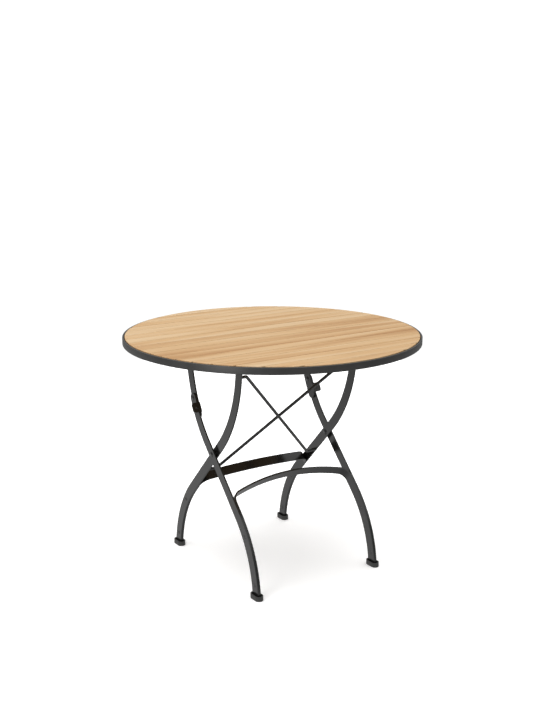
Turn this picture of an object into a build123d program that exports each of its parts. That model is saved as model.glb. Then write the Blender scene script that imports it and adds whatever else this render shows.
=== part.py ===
from build123d import *
import math
import os

os.makedirs("parts", exist_ok=True)

# Round folding bistro table. Units are millimetres.
# X runs along the slats and the hinge pins, -Y is the front, +Z is up.
# The origin is on the floor under the middle of the top.

# ---- overall sizes ----
TABLE_RADIUS = 450.0
RIM_TOP = 718.0
RIM_HEIGHT = 20.0
RIM_THICKNESS = 5.0

# ---- slats and what carries them ----
SLAT_COUNT = 18
SLAT_PITCH = 50.4
SLAT_GAP = 2.0
SLAT_TOP = 720.0
SLAT_THICKNESS = 15.0
SLAT_END_RADIUS = 443.0
SLAT_EDGE = 1.0
SLAT_CORNER = 3.0
LEDGE_INNER_RADIUS = 425.0
LEDGE_THICKNESS = 3.0
BEARER_WIDTH = 24.5
BEARER_THICKNESS = 4.0
BEARER_OUTER_X = 217.0
BEARER_DEPTH = 25.0
BEARER_END_CUT = 18.0
BEARER_WEB_REACH = 250.0

# ---- flat bar shared by legs, hoops and straps ----
BAR_WIDTH = 30.0
BAR_THICKNESS = 5.0
BAR_HALF = BAR_WIDTH / 2

# ---- layers outward from the middle (inner face X of each bar) ----
REAR_HOOP_X = 197.5
REAR_LEG_X = 202.5
STRAP_X = 208.0
FRONT_HOOP_X = 208.4
FRONT_LEG_X = 213.4

# ---- the S curve of a leg, drawn for the front-foot frame ----
PIVOT_HEIGHT = 372.2
DIAGONAL_LEAN = 43.75
LOWER_BEND = 353.0
LOWER_BEND_TOP = 223.4
UPPER_BEND = 400.0
UPPER_BEND_BOTTOM = 400.2
KNUCKLE_LEAN = 22.6
STRAP_TAIL_LEAN = 29.6
STRAP_TOP_LEAN = 14.0
FOOT_LEAN = 3.0
RAIL_HEIGHT = 685.4

# ---- hoops ----
HOOP_JOIN = 175.0
HOOP_CORNER = 33.0
HOOP_OVERLAP = 7.0
FRONT_CROWN_TOP = 110.5
FRONT_CROWN_SIDE = 146.0
FRONT_CROWN_TWIST = 6.5
REAR_CROWN_TOP = 128.0
REAR_CROWN_SIDE = 143.5
HOOP_RIVET_HEIGHTS = (42.0, 172.0)

# ---- pins and fasteners ----
PIN_RADIUS = 4.0
PIN_CLEARANCE = 0.05
FACE_GAP = 0.3
SPACER_RADIUS = 10.0
PIVOT_HEAD = 9.0
KNUCKLE_HEAD = 8.5
RIVET_RADIUS = 2.5
RIVET_HEAD = 5.5
DOME_HEIGHT = 2.6
SCREW_RADIUS = 2.0
SCREW_HEAD = 4.2
SCREW_HEAD_HEIGHT = 1.8
SCREW_BITE = 10.0
SCREW_INSET = 16.0

# ---- feet, tabs, brace and rail ----
SHOE_LENGTH = 47.5
SHOE_WIDTH = 25.6
SHOE_HEIGHT = 15.0
SHOE_WALL = 2.6
SHOE_FLOOR = 3.0
SHOE_RIB = 3.0
SHOE_RIB_HEIGHT = 6.0
SHOE_EDGE = 0.8
FOOT_Y = 239.4
TAB_LENGTH = 29.0
TAB_HEIGHT = 30.0
TAB_THICKNESS = 4.0
TAB_OFFSET = 0.7
TAB_CORNER = 8.0
TAB_BUTTON_RADIUS = 5.5
TAB_BUTTON_HEIGHT = 2.0
TAB_LEAN = 27.4
ROD_RADIUS = 4.8
ROD_UPPER_STUB = 18.0
ROD_LOWER_STUB = 36.0
ROD_BEND = 8.0
ROD_UPPER = (-140.0, 640.0)
ROD_LOWER = (54.5, 303.0)
RAIL_RADIUS = 6.0
RAIL_CLEARANCE = 0.5

# ---- rail catches ----
CATCH_THICKNESS = 3.0
CATCH_X = 189.0
CATCH_FLANGE = 26.0
CATCH_LENGTH = 54.0
CATCH_BOTTOM = 677.0
CATCH_FLARE = 5.0

SIDES = ((-1, "left"), (1, "right"))

SLAT_BOTTOM = SLAT_TOP - SLAT_THICKNESS
BEARER_BOTTOM = SLAT_BOTTOM - BEARER_THICKNESS
CENTRE_LEAN = math.radians(DIAGONAL_LEAN)
LEAN_SIN = math.sin(CENTRE_LEAN)
LEAN_COS = math.cos(CENTRE_LEAN)
LOWER_BEND_Y = -(PIVOT_HEIGHT - LOWER_BEND_TOP) * math.tan(CENTRE_LEAN)
UPPER_BEND_Y = (UPPER_BEND_BOTTOM - PIVOT_HEIGHT) * math.tan(CENTRE_LEAN)


def lower_point(lean):
    """Middle of the bar on the lower bend, where it leans `lean` degrees from upright."""
    angle = math.radians(lean)
    y = LOWER_BEND_Y + LOWER_BEND * (LEAN_COS - math.cos(angle))
    z = LOWER_BEND_TOP + LOWER_BEND * (math.sin(angle) - LEAN_SIN)
    return (y, z)


def upper_point(lean):
    """Middle of the bar on the upper bend, where it leans `lean` degrees from upright."""
    angle = math.radians(lean)
    y = UPPER_BEND_Y + UPPER_BEND * (math.cos(angle) - LEAN_COS)
    z = UPPER_BEND_BOTTOM + UPPER_BEND * (LEAN_SIN - math.sin(angle))
    return (y, z)


def lean_at_height(height):
    """Lean of the lower bend at a given height, in degrees."""
    return math.degrees(math.asin(LEAN_SIN + (height - LOWER_BEND_TOP) / LOWER_BEND))


def facing(point, face):
    """A point of the S curve; face is 1 for the front-foot frame and -1 for the mirrored one."""
    return (face * point[0], point[1])


def below_pivot(distance):
    """A point on the straight diagonal, measured down the bar from the scissor pivot."""
    return (-distance * LEAN_SIN, PIVOT_HEIGHT - distance * LEAN_COS)


KNUCKLE = upper_point(KNUCKLE_LEAN)
STRAP_TAIL = upper_point(STRAP_TAIL_LEAN)
TOP_Y = upper_point(0)[0]


def draw_foot_bend(face):
    """Lower bend from the foot to the start of the diagonal."""
    middle = (FOOT_LEAN + DIAGONAL_LEAN) / 2
    ThreePointArc(
        facing(lower_point(FOOT_LEAN), face),
        facing(lower_point(middle), face),
        facing(lower_point(DIAGONAL_LEAN), face),
    )


def draw_upper_bend(face, from_lean, to_lean):
    """Part of the upper bend between two leans."""
    middle = (from_lean + to_lean) / 2
    ThreePointArc(
        facing(upper_point(from_lean), face),
        facing(upper_point(middle), face),
        facing(upper_point(to_lean), face),
    )


def draw_diagonal(face, end):
    """Straight middle of the leg, from the foot bend to a point."""
    Line(facing(lower_point(DIAGONAL_LEAN), face), facing(end, face))


def layer(side, inner_x):
    """Sketch plane on the inner face of a bar on one side, looking outward along X."""
    return Plane(origin=(side * inner_x, 0, 0), x_dir=(0, 1, 0), z_dir=(1, 0, 0))


def pin_plane(y, z):
    """Plane that holds a pin's axis along its X direction."""
    return Plane(origin=(0, y, z), x_dir=(1, 0, 0), z_dir=(0, -1, 0))


def draw_headed_pin(start, end, shaft, head):
    """Half outline of a pin along X with a domed head at each end."""
    away = math.copysign(1, start - end)
    ball = (head**2 + DOME_HEIGHT**2) / (2 * DOME_HEIGHT)
    half_angle = math.asin(head / ball) / 2
    shoulder_rise = DOME_HEIGHT - ball * (1 - math.cos(half_angle))
    shoulder_radius = ball * math.sin(half_angle)
    dome_start = (start + away * DOME_HEIGHT, 0)
    dome_end = (end - away * DOME_HEIGHT, 0)
    ThreePointArc(dome_start, (start + away * shoulder_rise, shoulder_radius), (start, head))
    Line((start, head), (start, shaft))
    Line((start, shaft), (end, shaft))
    Line((end, shaft), (end, head))
    ThreePointArc((end, head), (end - away * shoulder_rise, shoulder_radius), dome_end)
    Line(dome_end, dome_start)


# ======================= tabletop =======================

with BuildPart() as rim_hoop:
    with BuildSketch(Plane.XY.offset(RIM_TOP - RIM_HEIGHT)):
        Circle(TABLE_RADIUS)
        Circle(TABLE_RADIUS - RIM_THICKNESS, mode=Mode.SUBTRACT)
    extrude(amount=RIM_HEIGHT)
    outer_edges = rim_hoop.edges().filter_by(GeomType.CIRCLE).sort_by(SortBy.RADIUS)[-2:]
    fillet(outer_edges, RIM_THICKNESS / 4)
rim_hoop.part.label = "rim_hoop"
export_step(rim_hoop.part, "parts/rim_hoop.step")

# Screw places: every slat on the centre bearer, the longer slats on the side bearers too,
# and the two outermost slats through the ledge.
side_bearer_x = BEARER_OUTER_X - BEARER_WIDTH / 2
side_screw_x = BEARER_OUTER_X - SCREW_INSET
slat_middles = [(i - (SLAT_COUNT - 1) / 2) * SLAT_PITCH for i in range(SLAT_COUNT)]
inner_middles = [y for y in slat_middles if abs(y) < LEDGE_INNER_RADIUS - SLAT_PITCH / 2]
long_middles = [y for y in slat_middles if abs(y) < LEDGE_INNER_RADIUS - 2 * SLAT_PITCH]
ledge_screw_x = 70.0
ledge_screw_y = 429.0

bearer_screws = [(0.0, y) for y in inner_middles]
for side in (-1, 1):
    bearer_screws += [(side * side_screw_x, y) for y in long_middles]
ledge_screws = [(a * ledge_screw_x, b * ledge_screw_y) for a in (-1, 1) for b in (-1, 1)]

catch_middle_y = -TOP_Y
catch_screw_x = CATCH_X - CATCH_FLANGE / 2
catch_screw_reach = CATCH_LENGTH / 2 - 9.0
catch_screws = []
for side in (-1, 1):
    for end in (-1, 1):
        catch_screws.append((side * catch_screw_x, catch_middle_y + end * catch_screw_reach))

for number, middle in enumerate(slat_middles):
    slat_name = f"slat_{number + 1:02d}"
    slat_screws_here = [
        place
        for place in bearer_screws + ledge_screws + catch_screws
        if abs(place[1] - middle) < SLAT_PITCH / 2
    ]
    with BuildPart() as slat:
        with BuildSketch(Plane.XY.offset(SLAT_BOTTOM)):
            with Locations((0, middle)):
                Rectangle(2 * TABLE_RADIUS, SLAT_PITCH - SLAT_GAP)
            Circle(SLAT_END_RADIUS, mode=Mode.INTERSECT)
        extrude(amount=SLAT_THICKNESS)
        fillet(slat.edges().filter_by(Axis.Z), SLAT_CORNER)
        chamfer(slat.faces().sort_by(Axis.Z)[-1].edges(), SLAT_EDGE)
        with BuildSketch(Plane.XY.offset(SLAT_BOTTOM)):
            with Locations(*slat_screws_here):
                Circle(SCREW_RADIUS)
        extrude(amount=SCREW_BITE, mode=Mode.SUBTRACT)
    slat.part.label = slat_name
    export_step(slat.part, f"parts/{slat_name}.step")

with BuildPart() as slat_ledge:
    with BuildSketch(Plane.XY.offset(SLAT_BOTTOM - LEDGE_THICKNESS)):
        Circle(TABLE_RADIUS - RIM_THICKNESS)
        Circle(LEDGE_INNER_RADIUS, mode=Mode.SUBTRACT)
        with Locations(*ledge_screws):
            Circle(SCREW_RADIUS, mode=Mode.SUBTRACT)
    extrude(amount=LEDGE_THICKNESS)
slat_ledge.part.label = "slat_ledge"
export_step(slat_ledge.part, "parts/slat_ledge.step")

with BuildPart() as bearer_centre:
    with BuildSketch(Plane.XY.offset(BEARER_BOTTOM)):
        Rectangle(BAR_WIDTH, 2 * TABLE_RADIUS)
        Circle(LEDGE_INNER_RADIUS, mode=Mode.INTERSECT)
        with Locations(*[place for place in bearer_screws if place[0] == 0.0]):
            Circle(SCREW_RADIUS, mode=Mode.SUBTRACT)
    extrude(amount=BEARER_THICKNESS)
bearer_centre.part.label = "bearer_centre"
export_step(bearer_centre.part, "parts/bearer_centre.step")

strap_plate_height = 20.0
strap_plate_length = 58.0
strap_plate_middle = BEARER_BOTTOM - strap_plate_height / 2
strap_bend_end = upper_point(STRAP_TOP_LEAN)
strap_rise = strap_plate_middle - strap_bend_end[1]
strap_top_y = strap_bend_end[0] + strap_rise * math.tan(math.radians(STRAP_TOP_LEAN))
strap_rivet_spots = [(strap_top_y + end * 20.0, strap_plate_middle) for end in (-1, 1)]

for side, side_name in SIDES:
    with BuildPart() as bearer:
        with BuildSketch(Plane.XY.offset(BEARER_BOTTOM)):
            with Locations((side * side_bearer_x, 0)):
                Rectangle(BEARER_WIDTH, 2 * TABLE_RADIUS)
            Circle(LEDGE_INNER_RADIUS, mode=Mode.INTERSECT)
            with Locations(*[place for place in bearer_screws if place[0] * side > 0]):
                Circle(SCREW_RADIUS, mode=Mode.SUBTRACT)
        extrude(amount=BEARER_THICKNESS)
        bearer_low = SLAT_BOTTOM - BEARER_DEPTH
        with BuildSketch(layer(side, BEARER_OUTER_X)):
            with BuildLine():
                Polyline(
                    (-BEARER_WEB_REACH, BEARER_BOTTOM),
                    (-BEARER_WEB_REACH + BEARER_END_CUT, bearer_low),
                    (BEARER_WEB_REACH - BEARER_END_CUT, bearer_low),
                    (BEARER_WEB_REACH, BEARER_BOTTOM),
                    close=True,
                )
            make_face()
            with Locations(*strap_rivet_spots):
                Circle(RIVET_RADIUS, mode=Mode.SUBTRACT)
        extrude(amount=-side * BEARER_THICKNESS)
    bearer_name = f"bearer_{side_name}"
    bearer.part.label = bearer_name
    export_step(bearer.part, f"parts/{bearer_name}.step")

screw_top = SLAT_BOTTOM + SCREW_BITE
with BuildPart() as slat_screws:
    with BuildSketch(Plane.XY.offset(BEARER_BOTTOM)):
        with Locations(*bearer_screws):
            Circle(SCREW_RADIUS)
    extrude(amount=screw_top - BEARER_BOTTOM)
    with BuildSketch(Plane.XY.offset(BEARER_BOTTOM)):
        with Locations(*bearer_screws):
            Circle(SCREW_HEAD)
    extrude(amount=-SCREW_HEAD_HEIGHT)
    ledge_bottom = SLAT_BOTTOM - LEDGE_THICKNESS
    with BuildSketch(Plane.XY.offset(ledge_bottom)):
        with Locations(*ledge_screws):
            Circle(SCREW_RADIUS)
    extrude(amount=screw_top - ledge_bottom)
    with BuildSketch(Plane.XY.offset(ledge_bottom)):
        with Locations(*ledge_screws):
            Circle(SCREW_HEAD)
    extrude(amount=-SCREW_HEAD_HEIGHT)
slat_screws.part.label = "slat_screws"
export_step(slat_screws.part, "parts/slat_screws.step")

# ---- notched catches that sit on the rear-foot frame's top rail ----
catch_top = SLAT_BOTTOM
notch_radius = RAIL_RADIUS + RAIL_CLEARANCE
for side, side_name in SIDES:
    with BuildPart() as rail_catch:
        with BuildSketch(Plane.XY.offset(catch_top)):
            with Locations((side * catch_screw_x, catch_middle_y)):
                Rectangle(CATCH_FLANGE, CATCH_LENGTH)
            with Locations(*[place for place in catch_screws if place[0] * side > 0]):
                Circle(SCREW_RADIUS, mode=Mode.SUBTRACT)
        extrude(amount=-CATCH_THICKNESS)
        with BuildSketch(layer(side, CATCH_X)):
            with BuildLine():
                Polyline(
                    (catch_middle_y + notch_radius, RAIL_HEIGHT),
                    (catch_middle_y + notch_radius + CATCH_FLARE, CATCH_BOTTOM),
                    (catch_middle_y + notch_radius + 2 * CATCH_FLARE, CATCH_BOTTOM),
                    (catch_middle_y + CATCH_LENGTH / 2, catch_top),
                    (catch_middle_y - CATCH_LENGTH / 2, catch_top),
                    (catch_middle_y - notch_radius - 2 * CATCH_FLARE, CATCH_BOTTOM),
                    (catch_middle_y - notch_radius - CATCH_FLARE, CATCH_BOTTOM),
                    (catch_middle_y - notch_radius, RAIL_HEIGHT),
                )
                ThreePointArc(
                    (catch_middle_y - notch_radius, RAIL_HEIGHT),
                    (catch_middle_y, RAIL_HEIGHT + notch_radius),
                    (catch_middle_y + notch_radius, RAIL_HEIGHT),
                )
            make_face()
        extrude(amount=-side * CATCH_THICKNESS)
    catch_name = f"rail_catch_{side_name}"
    rail_catch.part.label = catch_name
    export_step(rail_catch.part, f"parts/{catch_name}.step")

with BuildPart() as catch_screw_set:
    with BuildSketch(Plane.XY.offset(catch_top - CATCH_THICKNESS)):
        with Locations(*catch_screws):
            Circle(SCREW_RADIUS)
    extrude(amount=CATCH_THICKNESS + SCREW_BITE)
    with BuildSketch(Plane.XY.offset(catch_top - CATCH_THICKNESS)):
        with Locations(*catch_screws):
            Circle(SCREW_HEAD)
    extrude(amount=-SCREW_HEAD_HEIGHT)
catch_screw_set.part.label = "catch_screws"
export_step(catch_screw_set.part, "parts/catch_screws.step")

# ---- straps: they continue the front-foot legs up to the side bearers ----
for side, side_name in SIDES:
    with BuildPart() as strap:
        with BuildSketch(layer(side, STRAP_X)):
            with BuildLine():
                draw_upper_bend(1, STRAP_TAIL_LEAN, STRAP_TOP_LEAN)
                Line(strap_bend_end, (strap_top_y, strap_plate_middle))
            trace(line_width=BAR_WIDTH)
            with Locations(STRAP_TAIL):
                Circle(BAR_HALF)
            with Locations((strap_top_y, strap_plate_middle)):
                RectangleRounded(strap_plate_length, strap_plate_height, strap_plate_height / 4)
            with Locations(KNUCKLE):
                Circle(PIN_RADIUS + PIN_CLEARANCE, mode=Mode.SUBTRACT)
            with Locations(*strap_rivet_spots):
                Circle(RIVET_RADIUS, mode=Mode.SUBTRACT)
        extrude(amount=side * BAR_THICKNESS)
    strap_name = f"strap_{side_name}"
    strap.part.label = strap_name
    export_step(strap.part, f"parts/{strap_name}.step")

strap_rivet_inner = STRAP_X
strap_rivet_outer = BEARER_OUTER_X
with BuildPart() as strap_rivets:
    for side in (-1, 1):
        for spot in strap_rivet_spots:
            with BuildSketch(pin_plane(*spot)):
                with BuildLine():
                    draw_headed_pin(
                        side * strap_rivet_inner, side * strap_rivet_outer, RIVET_RADIUS, RIVET_HEAD
                    )
                make_face()
            revolve(axis=Axis((0, *spot), (1, 0, 0)))
strap_rivets.part.label = "strap_rivets"
export_step(strap_rivets.part, "parts/strap_rivets.step")

# ---- stop tabs: plates with a round button that bear on the front edges of the front-foot legs ----
tab_angle = math.radians(TAB_LEAN)
tab_centre = upper_point(TAB_LEAN)
tab_front = (0, -math.cos(tab_angle), math.sin(tab_angle))
tab_start = BAR_HALF + TAB_OFFSET
bend_middle = (UPPER_BEND_Y - UPPER_BEND * LEAN_COS, UPPER_BEND_BOTTOM + UPPER_BEND * LEAN_SIN)
for side, side_name in SIDES:
    tab_origin = (
        side * STRAP_X,
        tab_centre[0] + tab_front[1] * tab_start,
        tab_centre[1] + tab_front[2] * tab_start,
    )
    tab_plane = Plane(origin=tab_origin, x_dir=(side, 0, 0), z_dir=tab_front)
    with BuildPart() as stop_tab:
        with BuildSketch(tab_plane):
            with Locations((TAB_LENGTH / 2, 0)):
                Rectangle(TAB_LENGTH, TAB_HEIGHT)
            far_corners = [
                v for v in vertices() if abs(abs(v.X) - TAB_LENGTH) < FACE_GAP
            ]
            fillet(far_corners, TAB_CORNER)
        extrude(amount=TAB_THICKNESS)
        with BuildSketch(tab_plane.offset(TAB_THICKNESS)):
            with Locations((TAB_LENGTH / 2, 0)):
                Circle(TAB_BUTTON_RADIUS)
        extrude(amount=TAB_BUTTON_HEIGHT)
        button_rim = stop_tab.edges().sort_by(Axis(tab_origin, tab_front))[-1]
        fillet(button_rim, TAB_BUTTON_HEIGHT * 0.8)
        with BuildSketch(layer(side, STRAP_X)):
            with Locations((tab_origin[1], tab_origin[2])):
                Rectangle(2 * TAB_THICKNESS, TAB_HEIGHT, rotation=-TAB_LEAN)
            with Locations(bend_middle):
                Circle(UPPER_BEND - BAR_HALF, mode=Mode.INTERSECT)
        extrude(amount=side * BAR_THICKNESS)
    tab_name = f"stop_tab_{side_name}"
    stop_tab.part.label = tab_name
    export_step(stop_tab.part, f"parts/{tab_name}.step")

# ======================= front-foot frame =======================

hoop_rivet_spots = [lower_point(lean_at_height(height)) for height in HOOP_RIVET_HEIGHTS]

for side, side_name in SIDES:
    with BuildPart() as front_leg:
        with BuildSketch(layer(side, FRONT_LEG_X)):
            with BuildLine():
                draw_foot_bend(1)
                draw_diagonal(1, upper_point(DIAGONAL_LEAN))
                draw_upper_bend(1, DIAGONAL_LEAN, KNUCKLE_LEAN)
            trace(line_width=BAR_WIDTH)
            with Locations(KNUCKLE):
                Circle(BAR_HALF)
            with Locations(KNUCKLE, (0, PIVOT_HEIGHT)):
                Circle(PIN_RADIUS, mode=Mode.SUBTRACT)
            with Locations(*hoop_rivet_spots):
                Circle(RIVET_RADIUS, mode=Mode.SUBTRACT)
        extrude(amount=side * BAR_THICKNESS)
        split(bisect_by=Plane.XY.offset(SHOE_FLOOR), keep=Keep.TOP)
    leg_name = f"front_leg_{side_name}"
    front_leg.part.label = leg_name
    export_step(front_leg.part, f"parts/{leg_name}.step")


def hoop_plane(face):
    """Plane of a hoop's crown: it holds X and the diagonal, with its origin on the pivot axis."""
    normal = (0, -LEAN_COS, face * LEAN_SIN)
    return Plane(origin=(0, 0, PIVOT_HEIGHT), x_dir=(1, 0, 0), z_dir=normal)


def draw_crown(half_width, side_drop, top_drop):
    """Centre line of a hoop's crown: two uprights joined by an arch with tight corners."""
    arch_left = (-half_width, -side_drop)
    arch_right = (half_width, -side_drop)
    Line((-half_width, -HOOP_JOIN), arch_left)
    ThreePointArc(arch_left, (0, -top_drop), arch_right)
    Line(arch_right, (half_width, -HOOP_JOIN))


# The front crown's wide face is twisted towards upright, so its bar leans less than the hoop does.
front_crown_angle = math.radians(DIAGONAL_LEAN + FRONT_CROWN_TWIST)
front_crown_dir = Vector(0, -math.cos(front_crown_angle), math.sin(front_crown_angle))
front_crown_reach = BAR_HALF / math.cos(math.radians(FRONT_CROWN_TWIST))

with BuildPart() as front_hoop:
    for side in (-1, 1):
        with BuildSketch(layer(side, FRONT_HOOP_X)):
            with BuildLine():
                draw_foot_bend(1)
                draw_diagonal(1, below_pivot(HOOP_JOIN - HOOP_OVERLAP))
            trace(line_width=BAR_WIDTH)
            with Locations(*hoop_rivet_spots):
                Circle(RIVET_RADIUS, mode=Mode.SUBTRACT)
        extrude(amount=side * BAR_THICKNESS)
    front_crown_x = FRONT_HOOP_X + BAR_THICKNESS / 2
    with BuildSketch(hoop_plane(1)) as front_crown_sketch:
        with BuildLine() as front_crown:
            draw_crown(front_crown_x, FRONT_CROWN_SIDE, FRONT_CROWN_TOP)
            fillet(front_crown.vertices().sort_by(Axis.Y)[2:4], HOOP_CORNER)
        trace(line_width=BAR_THICKNESS)
    front_crown_face = front_crown_sketch.sketch
    for way in (-1, 1):
        extrude(front_crown_face, amount=front_crown_reach, dir=front_crown_dir * way)
    split(bisect_by=Plane.XY.offset(SHOE_FLOOR), keep=Keep.TOP)
front_hoop.part.label = "front_hoop"
export_step(front_hoop.part, "parts/front_hoop.step")

with BuildPart() as rear_hoop:
    for side in (-1, 1):
        with BuildSketch(layer(side, REAR_HOOP_X)):
            with BuildLine():
                draw_foot_bend(-1)
                draw_diagonal(-1, below_pivot(HOOP_JOIN))
            trace(line_width=BAR_WIDTH)
            with Locations(*[facing(spot, -1) for spot in hoop_rivet_spots]):
                Circle(RIVET_RADIUS, mode=Mode.SUBTRACT)
        extrude(amount=side * BAR_THICKNESS)
    rear_crown_x = REAR_HOOP_X + BAR_THICKNESS / 2
    with BuildSketch(hoop_plane(-1)):
        with BuildLine() as rear_crown:
            draw_crown(rear_crown_x, REAR_CROWN_SIDE, REAR_CROWN_TOP)
            fillet(rear_crown.vertices().sort_by(Axis.Y)[2:4], HOOP_CORNER)
        trace(line_width=BAR_THICKNESS)
    extrude(amount=BAR_HALF, both=True)
    split(bisect_by=Plane.XY.offset(SHOE_FLOOR), keep=Keep.TOP)
rear_hoop.part.label = "rear_hoop"
export_step(rear_hoop.part, "parts/rear_hoop.step")

for face, frame_name, inner_x in ((1, "front", FRONT_HOOP_X), (-1, "rear", REAR_HOOP_X)):
    with BuildPart() as hoop_rivets:
        for side in (-1, 1):
            for spot in hoop_rivet_spots:
                place = facing(spot, face)
                with BuildSketch(pin_plane(*place)):
                    with BuildLine():
                        draw_headed_pin(
                            side * inner_x,
                            side * (inner_x + 2 * BAR_THICKNESS),
                            RIVET_RADIUS,
                            RIVET_HEAD,
                        )
                    make_face()
                revolve(axis=Axis((0, *place), (1, 0, 0)))
    rivets_name = f"{frame_name}_hoop_rivets"
    hoop_rivets.part.label = rivets_name
    export_step(hoop_rivets.part, f"parts/{rivets_name}.step")

    for side, side_name in SIDES:
        shoe_x = side * (inner_x + BAR_THICKNESS)
        shoe_y = -face * FOOT_Y
        rib_length = SHOE_WIDTH / 2 - BAR_THICKNESS
        rib_x = BAR_THICKNESS + rib_length / 2
        with BuildPart() as foot_shoe:
            with BuildSketch():
                with Locations((shoe_x, shoe_y)):
                    SlotOverall(SHOE_LENGTH, SHOE_WIDTH, rotation=90)
            extrude(amount=SHOE_HEIGHT)
            chamfer(foot_shoe.faces().sort_by(Axis.Z)[0].edges(), SHOE_EDGE)
            with BuildSketch(Plane.XY.offset(SHOE_FLOOR)):
                with Locations((shoe_x, shoe_y)):
                    SlotOverall(SHOE_LENGTH - 2 * SHOE_WALL, SHOE_WIDTH - 2 * SHOE_WALL, rotation=90)
            extrude(amount=SHOE_HEIGHT, mode=Mode.SUBTRACT)
            with BuildSketch(Plane.XY.offset(SHOE_FLOOR)):
                with Locations((shoe_x - rib_x, shoe_y), (shoe_x + rib_x, shoe_y)):
                    Rectangle(rib_length, SHOE_RIB)
            extrude(amount=SHOE_RIB_HEIGHT)
        shoe_name = f"{frame_name}_foot_{side_name}"
        foot_shoe.part.label = shoe_name
        export_step(foot_shoe.part, f"parts/{shoe_name}.step")

# ---- scissor pivots and knuckles ----
pivot_spot = (0.0, PIVOT_HEIGHT)
for side, side_name in SIDES:
    spacer_inner = REAR_LEG_X + BAR_THICKNESS + FACE_GAP
    with BuildPart() as pivot_spacer:
        with BuildSketch(layer(side, spacer_inner)):
            with Locations(pivot_spot):
                Circle(SPACER_RADIUS)
                Circle(PIN_RADIUS, mode=Mode.SUBTRACT)
        extrude(amount=side * (FRONT_LEG_X - spacer_inner))
    spacer_name = f"pivot_spacer_{side_name}"
    pivot_spacer.part.label = spacer_name
    export_step(pivot_spacer.part, f"parts/{spacer_name}.step")

    pin_outer = FRONT_LEG_X + BAR_THICKNESS
    with BuildPart() as pivot_rivet:
        with BuildSketch(pin_plane(*pivot_spot)):
            with BuildLine():
                draw_headed_pin(
                    side * (REAR_LEG_X - FACE_GAP), side * pin_outer, PIN_RADIUS, PIVOT_HEAD
                )
            make_face()
        revolve(axis=Axis((0, *pivot_spot), (1, 0, 0)))
    rivet_name = f"pivot_rivet_{side_name}"
    pivot_rivet.part.label = rivet_name
    export_step(pivot_rivet.part, f"parts/{rivet_name}.step")

    with BuildPart() as knuckle_rivet:
        with BuildSketch(pin_plane(*KNUCKLE)):
            with BuildLine():
                draw_headed_pin(
                    side * (STRAP_X - FACE_GAP), side * pin_outer, PIN_RADIUS, KNUCKLE_HEAD
                )
            make_face()
        revolve(axis=Axis((0, *KNUCKLE), (1, 0, 0)))
    knuckle_name = f"knuckle_rivet_{side_name}"
    knuckle_rivet.part.label = knuckle_name
    export_step(knuckle_rivet.part, f"parts/{knuckle_name}.step")

# ======================= rear-foot frame =======================

rail_spot = (-TOP_Y, RAIL_HEIGHT)
for side, side_name in SIDES:
    with BuildPart() as rear_leg:
        with BuildSketch(layer(side, REAR_LEG_X)):
            with BuildLine():
                draw_foot_bend(-1)
                draw_diagonal(-1, upper_point(DIAGONAL_LEAN))
                draw_upper_bend(-1, DIAGONAL_LEAN, 0)
                Line(facing(upper_point(0), -1), rail_spot)
            trace(line_width=BAR_WIDTH)
            with Locations(rail_spot):
                Circle(BAR_HALF)
                Circle(RAIL_RADIUS, mode=Mode.SUBTRACT)
            with Locations(pivot_spot):
                Circle(PIN_RADIUS + PIN_CLEARANCE, mode=Mode.SUBTRACT)
            with Locations(*[facing(spot, -1) for spot in hoop_rivet_spots]):
                Circle(RIVET_RADIUS, mode=Mode.SUBTRACT)
        extrude(amount=side * BAR_THICKNESS)
        split(bisect_by=Plane.XY.offset(SHOE_FLOOR), keep=Keep.TOP)
    leg_name = f"rear_leg_{side_name}"
    rear_leg.part.label = leg_name
    export_step(rear_leg.part, f"parts/{leg_name}.step")

rail_half = REAR_LEG_X + BAR_THICKNESS
with BuildPart() as top_rail:
    with BuildSketch(layer(-1, rail_half)):
        with Locations(rail_spot):
            Circle(RAIL_RADIUS)
    extrude(amount=2 * rail_half)
top_rail.part.label = "top_rail"
export_step(top_rail.part, "parts/top_rail.step")

# ---- crossed brace rods: each one is set off from the brace's plane by its own radius ----
brace_run = (ROD_LOWER[0] - ROD_UPPER[0], ROD_LOWER[1] - ROD_UPPER[1])
brace_length = math.hypot(*brace_run)
brace_normal = (-brace_run[1] / brace_length, brace_run[0] / brace_length)
for side, rod_name in ((-1, "brace_rod_falling"), (1, "brace_rod_rising")):
    shift = (side * ROD_RADIUS * brace_normal[0], side * ROD_RADIUS * brace_normal[1])
    upper = (ROD_UPPER[0] + shift[0], ROD_UPPER[1] + shift[1])
    lower = (ROD_LOWER[0] + shift[0], ROD_LOWER[1] + shift[1])
    with BuildPart() as brace_rod:
        with BuildLine():
            FilletPolyline(
                (side * REAR_LEG_X, *upper),
                (side * (REAR_LEG_X - ROD_UPPER_STUB), *upper),
                (-side * (REAR_LEG_X - ROD_LOWER_STUB), *lower),
                (-side * REAR_LEG_X, *lower),
                radius=ROD_BEND,
            )
        with BuildSketch(layer(side, REAR_LEG_X)):
            with Locations(upper):
                Circle(ROD_RADIUS)
        sweep()
    brace_rod.part.label = rod_name
    export_step(brace_rod.part, f"parts/{rod_name}.step")
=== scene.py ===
import math

import bpy
from mathutils import Matrix, Vector


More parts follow.
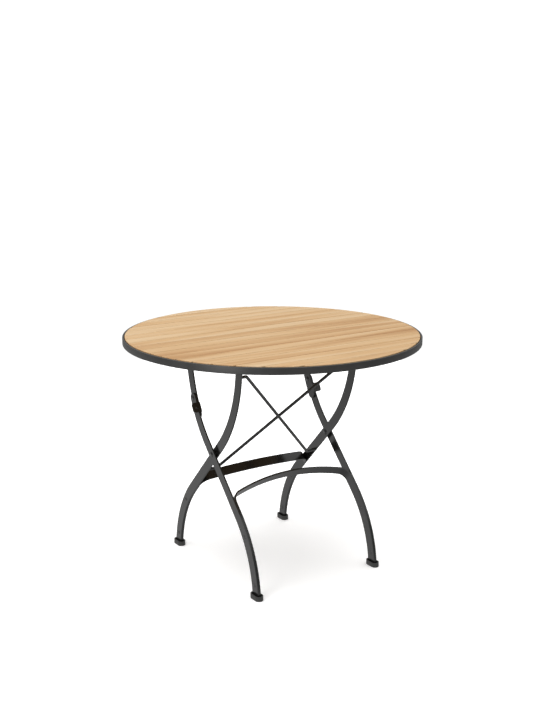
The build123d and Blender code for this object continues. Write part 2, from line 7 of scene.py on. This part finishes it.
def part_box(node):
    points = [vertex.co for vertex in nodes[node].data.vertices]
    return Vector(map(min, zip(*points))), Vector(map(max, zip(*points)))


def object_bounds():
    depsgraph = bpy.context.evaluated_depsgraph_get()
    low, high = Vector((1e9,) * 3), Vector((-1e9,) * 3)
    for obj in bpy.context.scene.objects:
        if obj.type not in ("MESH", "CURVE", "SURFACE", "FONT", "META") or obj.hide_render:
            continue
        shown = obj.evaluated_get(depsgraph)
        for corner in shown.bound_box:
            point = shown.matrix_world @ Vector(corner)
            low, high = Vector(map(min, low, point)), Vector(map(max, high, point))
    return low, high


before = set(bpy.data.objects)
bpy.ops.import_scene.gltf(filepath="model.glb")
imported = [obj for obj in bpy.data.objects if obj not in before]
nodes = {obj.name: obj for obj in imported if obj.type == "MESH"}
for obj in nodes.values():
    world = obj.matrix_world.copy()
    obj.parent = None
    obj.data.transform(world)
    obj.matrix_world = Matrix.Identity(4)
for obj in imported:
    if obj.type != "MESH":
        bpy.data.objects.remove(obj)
cad_low, cad_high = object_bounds()
TOP_HEIGHT = cad_high.z
SLAT_COUNT = 18
SLAT_NAMES = [f"slat_{number:02d}" for number in range(1, SLAT_COUNT + 1)]
SCREW_NODES = ("slat_screws", "catch_screws")
FOOT_NODES = [name for name in nodes if "_foot_" in name]
METAL_NODES = [
    name for name in nodes
    if name not in SLAT_NAMES and name not in SCREW_NODES and name not in FOOT_NODES
]


# ---------------------------------------------------------------- node helpers
class Shader:
    """Small helper that builds one material's node tree."""

    def __init__(self, name):
        self.material = bpy.data.materials.new(name)
        self.material.use_nodes = True
        self.tree = self.material.node_tree
        self.surface = self.tree.nodes["Principled BSDF"]

    def node(self, kind, **settings):
        made = self.tree.nodes.new(kind)
        for key, value in settings.items():
            setattr(made, key, value)
        return made

    def link(self, source, target):
        self.tree.links.new(source, target)

    def coordinates(self, scale, location=(0, 0, 0)):
        """Object coordinates, stretched and shifted."""
        source = self.node("ShaderNodeTexCoord")
        mapping = self.node("ShaderNodeMapping")
        mapping.inputs["Scale"].default_value = scale
        mapping.inputs["Location"].default_value = location
        self.link(source.outputs["Object"], mapping.inputs["Vector"])
        return mapping.outputs["Vector"]

    def noise(self, vector, scale=1.0, detail=4.0, roughness=0.5, distortion=0.0):
        made = self.node("ShaderNodeTexNoise")
        made.inputs["Scale"].default_value = scale
        made.inputs["Detail"].default_value = detail
        made.inputs["Roughness"].default_value = roughness
        made.inputs["Distortion"].default_value = distortion
        self.link(vector, made.inputs["Vector"])
        return made.outputs["Fac"]

    def ramp(self, value, stops):
        """Colour ramp from (position, colour) stops."""
        made = self.node("ShaderNodeValToRGB")
        elements = made.color_ramp.elements
        while len(elements) < len(stops):
            elements.new(0.5)
        for element, (position, colour) in zip(elements, stops):
            element.position = position
            element.color = (*colour, 1.0)
        self.link(value, made.inputs["Fac"])
        return made.outputs["Color"]

    def remap(self, value, low, high, to_low, to_high):
        made = self.node("ShaderNodeMapRange")
        for key, number in zip(("From Min", "From Max", "To Min", "To Max"), (low, high, to_low, to_high)):
            made.inputs[key].default_value = number
        self.link(value, made.inputs["Value"])
        return made.outputs["Result"]

    def math(self, operation, first, second):
        made = self.node("ShaderNodeMath", operation=operation)
        for socket, item in zip(made.inputs, (first, second)):
            if isinstance(item, (int, float)):
                socket.default_value = item
            else:
                self.link(item, socket)
        return made.outputs["Value"]

    def mix(self, blend, factor, first, second):
        made = self.node("ShaderNodeMix", data_type="RGBA", blend_type=blend)
        for socket, item in ((made.inputs[0], factor), (made.inputs[6], first), (made.inputs[7], second)):
            if isinstance(item, (int, float)):
                socket.default_value = item
            elif isinstance(item, tuple):
                socket.default_value = (*item, 1.0)
            else:
                self.link(item, socket)
        return made.outputs[2]

    def bump(self, height, strength, distance):
        made = self.node("ShaderNodeBump")
        made.inputs["Strength"].default_value = strength
        made.inputs["Distance"].default_value = distance
        self.link(height, made.inputs["Height"])
        self.link(made.outputs["Normal"], self.surface.inputs["Normal"])

    def set(self, **values):
        for key, value in values.items():
            socket = self.surface.inputs[key.replace("_", " ")]
            if hasattr(value, "is_linked"):
                self.link(value, socket)
            else:
                socket.default_value = value


# ---------------------------------------------------------------- materials
# Noise stretch along and across the grain, and the tones they move between.
FIGURE_STRETCH = (1.1, 19.0, 19.0)
RING_STRETCH = (2.2, 42.0, 42.0)
FIBRE_STRETCH = (9.0, 620.0, 620.0)
PORE_STRETCH = (34.0, 1500.0, 1500.0)
END_GRAIN_STRETCH = (420.0, 420.0, 420.0)
SEED_SHIFT = (3.17, 1.31, 0.73)
TONE_SPREAD = 0.10
END_DARK = (0.26, 0.14, 0.055)
END_LIGHT = (0.46, 0.28, 0.13)
# Painted shade: the outer strip of each slat's long edges darkens towards the gap to the next slat.
SLAT_EDGE_START = 0.0016
SLAT_EDGE_END = 0.0002
SLAT_GAP_PAINTED_SHADE = 0.84
WOOD_DARK = (0.345, 0.180, 0.064)
WOOD_MIDDLE = (0.462, 0.288, 0.132)
WOOD_LIGHT = (0.528, 0.372, 0.208)


def wood(name, seed, middle_y, half_width):
    """Oiled hardwood whose grain runs along X, with painted shade darkening each slat towards the gaps
    along its long edges; the seed shifts the figure and the tone.
    """
    shader = Shader(name)
    shift = tuple(seed * step for step in SEED_SHIFT)
    tone = 0.5 + 0.5 * math.sin(seed * 12.9898 + 1.3)
    broad = shader.noise(shader.coordinates(FIGURE_STRETCH, shift), 1.0, 5.0, 0.55, 0.35)
    lift = TONE_SPREAD * (tone - 0.5)
    body = shader.ramp(broad, (
        (0.30 - lift, WOOD_DARK), (0.47 - lift, WOOD_MIDDLE), (0.66 - lift, WOOD_LIGHT)))
    rings = shader.node("ShaderNodeTexWave", wave_type="BANDS", bands_direction="Y")
    rings.inputs["Scale"].default_value = 1.0
    rings.inputs["Distortion"].default_value = 9.0
    rings.inputs["Detail"].default_value = 3.0
    rings.inputs["Detail Scale"].default_value = 0.35
    shader.link(shader.coordinates(RING_STRETCH, shift), rings.inputs["Vector"])
    ring_shade = shader.remap(rings.outputs["Fac"], 0.0, 1.0, 0.89, 1.05)
    fibres = shader.noise(shader.coordinates(FIBRE_STRETCH, shift), 1.0, 3.0, 0.6)
    fibre_shade = shader.remap(fibres, 0.25, 0.75, 0.90, 1.07)
    pores = shader.noise(shader.coordinates(PORE_STRETCH, shift), 1.0, 2.0, 0.5)
    pore_shade = shader.remap(pores, 0.27, 0.36, 0.78, 1.0)
    # Painted shade along the slat's long edges, darker towards the gaps between the slats.
    place = shader.node("ShaderNodeSeparateXYZ")
    shader.link(shader.coordinates((1.0, 1.0, 1.0), (0.0, -middle_y, 0.0)), place.inputs["Vector"])
    from_middle = shader.math("ABSOLUTE", place.outputs["Y"], 0.0)
    painted_gap_shade = shader.remap(
        from_middle, half_width - SLAT_EDGE_START, half_width - SLAT_EDGE_END, 1.0, SLAT_GAP_PAINTED_SHADE)
    shade = shader.math("MULTIPLY", ring_shade, shader.math("MULTIPLY", fibre_shade, pore_shade))
    shade = shader.math("MULTIPLY", shade, painted_gap_shade)
    side_grain_and_gap_shade = shader.mix("MULTIPLY", 1.0, body, shade)
    end_noise = shader.noise(shader.coordinates(END_GRAIN_STRETCH, shift), 1.0, 4.0, 0.6)
    end_grain = shader.ramp(end_noise, ((0.35, END_DARK), (0.65, END_LIGHT)))
    normal = shader.node("ShaderNodeTexCoord").outputs["Normal"]
    split = shader.node("ShaderNodeSeparateXYZ")
    shader.link(normal, split.inputs["Vector"])
    facing_end = shader.remap(shader.math("ABSOLUTE", split.outputs["X"], 0.0), 0.45, 0.75, 0.0, 1.0)
    colour = shader.mix("MIX", facing_end, side_grain_and_gap_shade, end_grain)
    shader.set(Base_Color=colour, Roughness=shader.remap(broad, 0.3, 0.7, 0.50, 0.38))
    shader.set(Specular_IOR_Level=0.38, Coat_Weight=0.05, Coat_Roughness=0.35)
    height = shader.math("ADD", shader.math("MULTIPLY", fibres, 0.5), pore_shade)
    shader.bump(height, 0.16, 0.0004)
    return shader.material


# Noise scales of the painted and moulded skins, in repeats per metre.
CLOUD_SCALE = (14.0, 14.0, 14.0)
SPECK_SCALE = (1400.0, 1400.0, 1400.0)
SCUFF_SCALE = (60.0, 60.0, 60.0)
PEEL_SCALE = (520.0, 520.0, 520.0)
HAZE_SCALE = (300.0, 300.0, 300.0)
SKIN_SCALE = (900.0, 900.0, 900.0)
SHOE_SCUFF_SCALE = (70.0, 70.0, 260.0)


def powder_coat(name, base, rough, specular):
    """Powder coat: fine orange-peel texture, cloudy sheen and slightly rubbed edges."""
    shader = Shader(name)
    cloud = shader.noise(shader.coordinates(CLOUD_SCALE), 1.0, 5.0, 0.6)
    speck = shader.noise(shader.coordinates(SPECK_SCALE), 1.0, 2.0, 0.5)
    body = shader.ramp(cloud, (
        (0.35, tuple(c * 0.88 for c in base)), (0.65, tuple(c * 1.12 for c in base))))
    grain = shader.remap(speck, 0.3, 0.7, 0.90, 1.12)
    body = shader.mix("MULTIPLY", 1.0, body, grain)
    edge = shader.node("ShaderNodeNewGeometry").outputs["Pointiness"]
    scuff = shader.noise(shader.coordinates(SCUFF_SCALE), 1.0, 4.0, 0.7)
    rub = shader.math("MULTIPLY", shader.remap(edge, 0.53, 0.60, 0.0, 1.0),
                      shader.remap(scuff, 0.48, 0.66, 0.0, 0.75))
    worn = shader.mix("MIX", rub, body, tuple(c * 2.2 + 0.012 for c in base))
    shader.set(Base_Color=worn, Roughness=shader.remap(cloud, 0.3, 0.7, rough - 0.04, rough + 0.05))
    shader.set(Specular_IOR_Level=specular)
    peel = shader.noise(shader.coordinates(PEEL_SCALE), 1.0, 3.0, 0.55)
    shader.bump(peel, 0.07, 0.0003)
    return shader.material


def steel(name):
    """Bright zinc-plated screw steel with a faint haze."""
    shader = Shader(name)
    haze = shader.noise(shader.coordinates(HAZE_SCALE), 1.0, 4.0, 0.6)
    colour = shader.ramp(haze, ((0.3, (0.42, 0.42, 0.41)), (0.7, (0.62, 0.62, 0.60))))
    shader.set(Base_Color=colour, Metallic=1.0, Roughness=shader.remap(haze, 0.3, 0.7, 0.30, 0.48))
    shader.bump(haze, 0.08, 0.0002)
    return shader.material


def plastic(name):
    """Dark moulded plastic shoe with a fine matt skin and scuffs near the floor."""
    shader = Shader(name)
    skin = shader.noise(shader.coordinates(SKIN_SCALE), 1.0, 3.0, 0.6)
    scuff = shader.noise(shader.coordinates(SHOE_SCUFF_SCALE), 1.0, 5.0, 0.7)
    colour = shader.ramp(skin, ((0.3, (0.030, 0.030, 0.029)), (0.7, (0.044, 0.044, 0.042))))
    where = shader.node("ShaderNodeSeparateXYZ")
    shader.link(shader.coordinates((1.0, 1.0, 1.0)), where.inputs["Vector"])
    low = shader.remap(where.outputs["Z"], 0.001, 0.006, 1.0, 0.0)
    rub = shader.math("MULTIPLY", low, shader.remap(scuff, 0.45, 0.65, 0.0, 0.6))
    shader.set(Base_Color=shader.mix("MIX", rub, colour, (0.12, 0.115, 0.105)))
    shader.set(Roughness=shader.remap(skin, 0.3, 0.7, 0.36, 0.50), Specular_IOR_Level=0.45)
    shader.bump(skin, 0.10, 0.0002)
    return shader.material


frame_paint = powder_coat("black_gloss_powder_coat", (0.0125, 0.0125, 0.012), 0.17, 0.68)
rivet_paint = powder_coat("rivet_gloss_paint", (0.0105, 0.0105, 0.0100), 0.12, 0.85)
# The rim gets a copy of the frame powder coat whose base tone is set to how bright the rim reads under
# this light: painted light and shade. Its rougher, less glossy surface is a finish setting.
rim_paint_lit_copy = powder_coat("rim_powder_coat_lit_copy", (0.034, 0.034, 0.0331), 0.37, 0.34)
shoe_plastic = plastic("shoe_plastic")
screw_metal = steel("screw_steel")


EDGE_ANGLE = math.radians(35.0)
EDGE_SEGMENTS = 2
WELD_DISTANCE = 0.000002
WOOD_EDGE = 0.0005
METAL_EDGE = 0.0005
SHOE_EDGE = 0.0007
SCREW_EDGE = 0.0003


def finish_node(name, material, edge_width):
    """Gives a CAD node its material and a small machined edge."""
    piece = nodes[name]
    piece.data.materials.clear()
    piece.data.materials.append(material)
    if "custom_normal" in piece.data.attributes:
        piece.data.attributes.remove(piece.data.attributes["custom_normal"])
    for face in piece.data.polygons:
        face.use_smooth = True
    weld = piece.modifiers.new("weld", "WELD")
    weld.merge_threshold = WELD_DISTANCE
    bevel = piece.modifiers.new("edge", "BEVEL")
    bevel.width = edge_width
    bevel.segments = EDGE_SEGMENTS
    bevel.limit_method = "ANGLE"
    bevel.angle_limit = EDGE_ANGLE
    bevel.harden_normals = True
    bevel.use_clamp_overlap = True


for number, name in enumerate(SLAT_NAMES):
    low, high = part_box(name)
    figure = wood(f"slat_wood_{number + 1:02d}", number + 1, (low.y + high.y) / 2, (high.y - low.y) / 2)
    finish_node(name, figure, WOOD_EDGE)
for name in METAL_NODES:
    # The rim takes the lit copy of the powder coat, whose tone is painted light and shade.
    paint = rim_paint_lit_copy if name == "rim_hoop" else rivet_paint if "rivet" in name else frame_paint
    finish_node(name, paint, METAL_EDGE)
for name in FOOT_NODES:
    finish_node(name, shoe_plastic, SHOE_EDGE)
for name in SCREW_NODES:
    finish_node(name, screw_metal, SCREW_EDGE)


# ---------------------------------------------------------------- floor, light, camera
FLOOR_REACH = 2.8
FLOOR_SIDES = 96
FLOOR_GLOW = 0.30
BACKDROP_STRENGTH = 1.05


def make_floor():
    """Round sheet of pale studio floor under the object."""
    mesh = bpy.data.meshes.new("floor")
    corners = [
        (FLOOR_REACH * math.cos(turn), FLOOR_REACH * math.sin(turn), 0)
        for turn in (math.tau * step / FLOOR_SIDES for step in range(FLOOR_SIDES))
    ]
    mesh.from_pydata(corners, [], [tuple(range(FLOOR_SIDES))])
    floor = bpy.data.objects.new("floor", mesh)
    bpy.context.scene.collection.objects.link(floor)
    shader = Shader("floor_white")
    tone = shader.noise(shader.coordinates((1.5, 1.5, 1.5)), 1.0, 3.0, 0.5)
    shader.set(Base_Color=shader.ramp(tone, ((0.3, (0.93, 0.93, 0.93)), (0.7, (0.95, 0.95, 0.95)))))
    shader.set(Roughness=0.9, Specular_IOR_Level=0.1)
    shader.set(Emission_Color=(1.0, 1.0, 1.0, 1.0), Emission_Strength=FLOOR_GLOW)
    mesh.materials.append(shader.material)
    floor.visible_glossy = False
    floor.visible_diffuse = False


def make_area(name, place, target, width, height, power):
    """Rectangular softbox that lights the object and stays out of every picture."""
    light = bpy.data.lights.new(name, "AREA")
    light.shape = "RECTANGLE"
    light.size = width
    light.size_y = height
    light.energy = power
    lamp = bpy.data.objects.new(name, light)
    lamp.location = place
    lamp.rotation_euler = (Vector(target) - Vector(place)).to_track_quat("-Z", "Y").to_euler()
    lamp.visible_camera = False
    bpy.context.scene.collection.objects.link(lamp)


# Brightness of the surround against the sine of the height angle: a pale floor near the object,
# a dim band round the horizon, a bright ceiling.
WORLD_SHADE = (
    (-1.0, 0.42), (-0.60, 0.55), (-0.42, 0.82), (-0.29, 0.80), (-0.20, 0.36),
    (0.0, 0.24), (0.24, 0.28), (0.50, 0.75), (0.80, 0.95), (1.0, 3.6),
)


def make_world():
    """Studio surround that lights the object, and a white backdrop that only the camera sees."""
    world = bpy.data.worlds.new("studio")
    bpy.context.scene.world = world
    world.use_nodes = True
    tree = world.node_tree
    surround = tree.nodes["Background"]
    direction = tree.nodes.new("ShaderNodeTexCoord")
    split = tree.nodes.new("ShaderNodeSeparateXYZ")
    tree.links.new(direction.outputs["Generated"], split.inputs["Vector"])
    rise = tree.nodes.new("ShaderNodeMapRange")
    rise.inputs["From Min"].default_value = -1.0
    tree.links.new(split.outputs["Z"], rise.inputs["Value"])
    shade = tree.nodes.new("ShaderNodeValToRGB")
    while len(shade.color_ramp.elements) < len(WORLD_SHADE):
        shade.color_ramp.elements.new(0.5)
    for stop, (sine, level) in zip(shade.color_ramp.elements, WORLD_SHADE):
        stop.position = (sine + 1.0) / 2.0
        stop.color = (level, level, level, 1.0)
    tree.links.new(rise.outputs["Result"], shade.inputs["Fac"])
    tree.links.new(shade.outputs["Color"], surround.inputs["Color"])
    backdrop = tree.nodes.new("ShaderNodeBackground")
    backdrop.inputs["Color"].default_value = (1.0, 1.0, 1.0, 1.0)
    backdrop.inputs["Strength"].default_value = BACKDROP_STRENGTH
    seen = tree.nodes.new("ShaderNodeLightPath")
    choose = tree.nodes.new("ShaderNodeMixShader")
    tree.links.new(seen.outputs["Is Camera Ray"], choose.inputs[0])
    tree.links.new(surround.outputs[0], choose.inputs[1])
    tree.links.new(backdrop.outputs[0], choose.inputs[2])
    tree.links.new(choose.outputs[0], tree.nodes["World Output"].inputs["Surface"])


make_floor()
make_world()
middle = Vector((0, 0, TOP_HEIGHT / 2))
make_area("key_light", (-2.47, -1.10, 0.78), middle, 1.1, 1.5, 24.0)
make_area("top_light", (-0.6, 0.4, 3.6), middle, 2.4, 2.4, 42.0)

bpy.context.scene.view_settings.view_transform = "Standard"
bpy.context.scene.view_settings.look = "None"

# The camera stands at the front left, a little above the top.
VIEW_AZIMUTH = -0.588
VIEW_ELEVATION = 0.233
VIEW_DISTANCE = 3.2474
AIM = Vector((0.0003, -0.0002, 0.6232))
FOCAL_LENGTH = 52.86
SENSOR_WIDTH = 36.0
FAR_CLIP = 200.0

back = Vector((
    math.sin(VIEW_AZIMUTH) * math.cos(VIEW_ELEVATION),
    -math.cos(VIEW_AZIMUTH) * math.cos(VIEW_ELEVATION),
    math.sin(VIEW_ELEVATION),
))
right = (-back).cross(Vector((0, 0, 1))).normalized()
up = right.cross(-back)
lens = bpy.data.cameras.new("camera")
lens.lens = FOCAL_LENGTH
lens.sensor_width = SENSOR_WIDTH
lens.clip_end = FAR_CLIP
camera = bpy.data.objects.new("camera", lens)
rotation = Matrix((right, up, back)).transposed().to_4x4()
camera.matrix_world = Matrix.Translation(AIM + back * VIEW_DISTANCE) @ rotation
bpy.context.scene.collection.objects.link(camera)
bpy.context.scene.camera = camera
